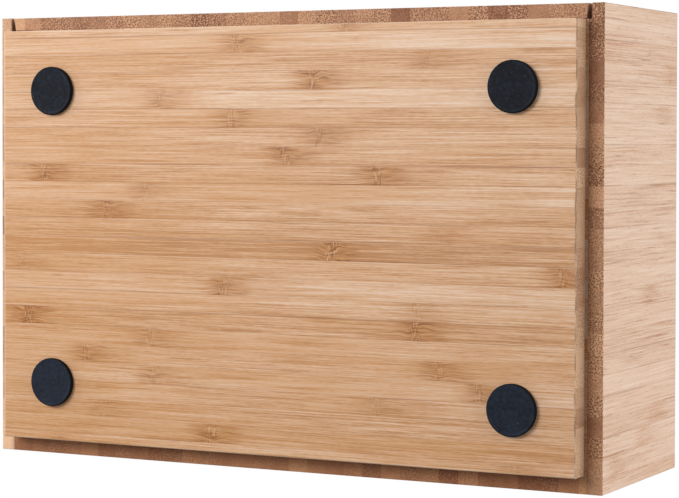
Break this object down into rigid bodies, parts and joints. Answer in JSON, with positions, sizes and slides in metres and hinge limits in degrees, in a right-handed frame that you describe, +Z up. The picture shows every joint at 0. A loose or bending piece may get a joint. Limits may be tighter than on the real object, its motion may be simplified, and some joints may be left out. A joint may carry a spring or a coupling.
{
  "type": "cutting board",
  "caption": "Box-form bamboo cutting board: juice-groove top over a shallow case with a drawer, on a plinth with round rubber feet.",
  "frame": {"origin": "on the table, under the middle of the case", "axes": "+Z up to the cutting surface, -Y the front with the drawer, +X to the right as seen with the board's back away from the viewer"},
  "size_m": [0.38, 0.256, 0.1305],
  "materials": {
    "bamboo_side_pressed": "oiled, fine sanded",
    "bamboo_upright": "oiled, fine sanded",
    "bamboo_drawer": "plain, sanded",
    "dowel_wood": "plain, turned",
    "foot_rubber": "matt, moulded",
    "foot_adhesive": "matt foam tape"
  },
  "bodies": {
    "case": {"cutting_board": "bamboo_side_pressed", "right_side_panel": "bamboo_upright", "left_side_panel": "bamboo_upright", "back_panel": "bamboo_upright", "floor_board": "bamboo_side_pressed", "plinth_board": "bamboo_side_pressed", "rubber_foot_front_left": "foot_rubber", "rubber_foot_front_right": "foot_rubber", "rubber_foot_back_left": "foot_rubber", "rubber_foot_back_right": "foot_rubber", "foot_adhesive_discs": "foot_adhesive", "floor_to_side_dowels": "dowel_wood", "back_to_side_dowels": "dowel_wood", "board_to_side_dowels": "dowel_wood", "board_to_back_dowels": "dowel_wood", "floor_to_back_dowels": "dowel_wood"},
    "drawer": {"drawer_front": "bamboo_upright", "drawer_right_side": "bamboo_drawer", "drawer_left_side": "bamboo_drawer", "drawer_back": "bamboo_drawer", "drawer_bottom": "bamboo_drawer", "drawer_front_dowels": "dowel_wood", "drawer_back_dowels": "dowel_wood"}
  },
  "joints": [
    {"name": "drawer_slide", "type": "slide", "parent": "case", "child": "drawer", "axis": [0, -1, 0], "range_m": [0, 0.19]}
  ]
}
